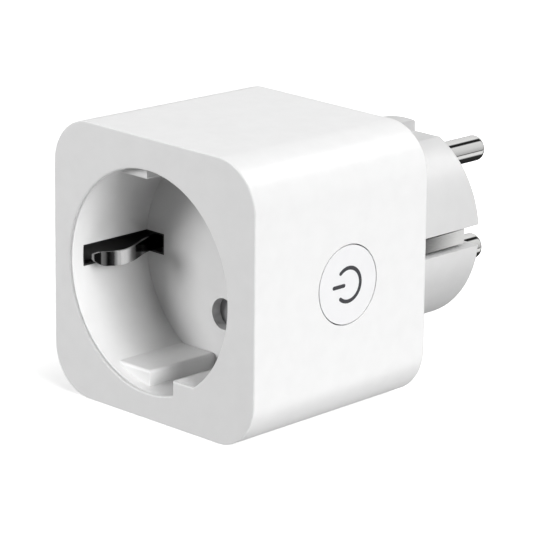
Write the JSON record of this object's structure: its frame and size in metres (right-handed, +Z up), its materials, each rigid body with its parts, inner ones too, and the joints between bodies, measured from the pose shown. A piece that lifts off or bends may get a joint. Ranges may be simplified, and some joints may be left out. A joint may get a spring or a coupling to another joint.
{
  "type": "smart plug",
  "caption": "Cube-shaped switched mains adaptor with a round earthed socket in front, a side push button and a two-pin earthed plug nose behind.",
  "frame": {"origin": "middle of the plug nose's flat end face, half way between the two pins", "axes": "+Y along the pins, from the socket towards the wall; +X is the side with the push button; +Z up, along the line from one pin to the other"},
  "size_m": [0.0505, 0.0839, 0.0505],
  "materials": {
    "white_shell": "satin moulded",
    "white_insert": "satin moulded",
    "white_nose": "satin moulded",
    "white_button": "satin moulded",
    "symbol_black": "matte ink",
    "nickel": "polished nickel plate",
    "screw_steel": "zinc plated",
    "can_steel": "plain steel",
    "contact_brass": "stamped",
    "winding_copper": "enamelled copper",
    "board_green": "solder mask over laminate",
    "chip_black": "moulded",
    "switch_black": "moulded",
    "liner_black": "moulded",
    "sleeve_black": "shrink sleeve",
    "box_yellow": "potted box",
    "disc_blue": "dipped epoxy",
    "fuse_ceramic": "ceramic tube",
    "relay_plastic": "moulded",
    "inner_plastic": "moulded",
    "shutter_grey": "moulded",
    "lens_clear": "clear"
  },
  "bodies": {
    "housing": {"housing_shell": "white_shell", "socket_insert": "white_insert", "slot_liner_left": "liner_black", "slot_liner_right": "liner_black", "rear_cover": "white_nose", "cover_screws": "screw_steel", "switch_body": "switch_black", "control_board": "board_green", "wifi_module": "board_green", "wifi_shield": "can_steel", "status_led": "lens_clear", "board_header": "switch_black", "main_board": "board_green", "bulk_capacitor": "sleeve_black", "output_capacitor": "sleeve_black", "film_capacitor": "box_yellow", "varistor": "disc_blue", "fuse_link": "fuse_ceramic", "filter_choke": "winding_copper", "bridge_rectifier": "chip_black", "converter_chip": "chip_black", "metering_chip": "chip_black", "current_shunt": "winding_copper", "relay_base": "relay_plastic", "relay_cover": "relay_plastic", "relay_coil": "winding_copper", "relay_yoke": "can_steel", "relay_fixed_contact": "contact_brass", "live_pin": "nickel", "neutral_pin": "nickel", "pin_holder": "inner_plastic", "live_busbar": "contact_brass", "neutral_busbar": "contact_brass", "live_contact": "contact_brass", "neutral_contact": "contact_brass", "contact_carrier": "inner_plastic", "shutter_spring": "screw_steel", "earth_bus": "nickel", "earth_strip_left": "nickel", "earth_strip_right": "nickel", "earth_pin_socket": "contact_brass"},
    "button": {"button_cap": "white_button", "button_symbol": "symbol_black"},
    "switch_stem": {"switch_plunger": "switch_black"},
    "shutter": {"safety_shutter": "shutter_grey"},
    "left_clip": {"earth_clip_left": "nickel"},
    "right_clip": {"earth_clip_right": "nickel"},
    "relay_tongue": {"relay_armature": "can_steel", "relay_moving_contact": "contact_brass"}
  },
  "joints": [
    {"name": "button_press", "type": "slide", "parent": "housing", "child": "button", "axis": [-1, 0, 0], "range_m": [0, 0.0004], "stiffness_N_per_m": 1500},
    {"name": "switch_stem_press", "type": "slide", "parent": "housing", "child": "switch_stem", "axis": [-1, 0, 0], "range_m": [0, 0.0004]},
    {"name": "shutter_turn", "type": "hinge", "parent": "housing", "child": "shutter", "pos_m": [0, -0.0434, 0], "axis": [0, 1, 0], "range_deg": [0, 45], "stiffness_Nm_per_rad": 0.004},
    {"name": "left_clip_flex", "type": "hinge", "parent": "housing", "child": "left_clip", "pos_m": [-0.0179, -0.0375, 0], "axis": [0, 0, -1], "range_deg": [0, 6], "stiffness_Nm_per_rad": 0.8},
    {"name": "right_clip_flex", "type": "hinge", "parent": "housing", "child": "right_clip", "pos_m": [0.0179, -0.0375, 0], "axis": [0, 0, 1], "range_deg": [0, 6], "stiffness_Nm_per_rad": 0.8},
    {"name": "relay_pull_in", "type": "hinge", "parent": "housing", "child": "relay_tongue", "pos_m": [0.0125, -0.038, 0.00635], "axis": [-1, 0, 0], "range_deg": [0, 4], "stiffness_Nm_per_rad": 0.02}
  ],
  "couplings": [
    {"joint": "switch_stem_press", "follows": "button_press", "ratio": 1}
  ]
}
